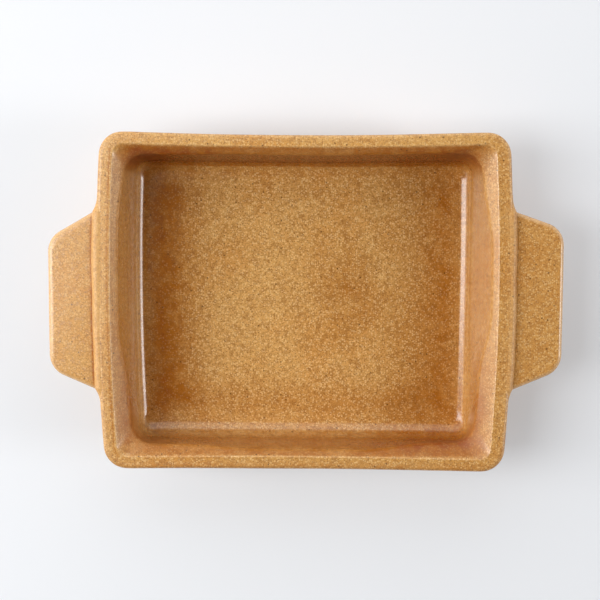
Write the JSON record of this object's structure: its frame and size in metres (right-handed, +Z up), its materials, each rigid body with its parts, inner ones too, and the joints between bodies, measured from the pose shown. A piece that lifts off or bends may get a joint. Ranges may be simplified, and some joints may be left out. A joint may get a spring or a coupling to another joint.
{
  "type": "baking dish",
  "caption": "Rectangular glazed ceramic oven dish with leaning walls, a flared flat rim, and a flat tapered lug handle luted to each end with a clay seam coil.",
  "frame": {"origin": "under the middle of the base, on the surface that the dish stands on", "axes": "+X towards the right-hand handle, +Y towards the back long side, +Z up out of the open dish"},
  "size_m": [0.2626, 0.1735, 0.048],
  "materials": {
    "amber_glaze": "glossy speckled ochre glaze over buff stoneware"
  },
  "bodies": {
    "root": {"dish_body": "amber_glaze", "left_handle": "amber_glaze", "left_seam_coil": "amber_glaze", "right_handle": "amber_glaze", "right_seam_coil": "amber_glaze"}
  },
  "joints": []
}
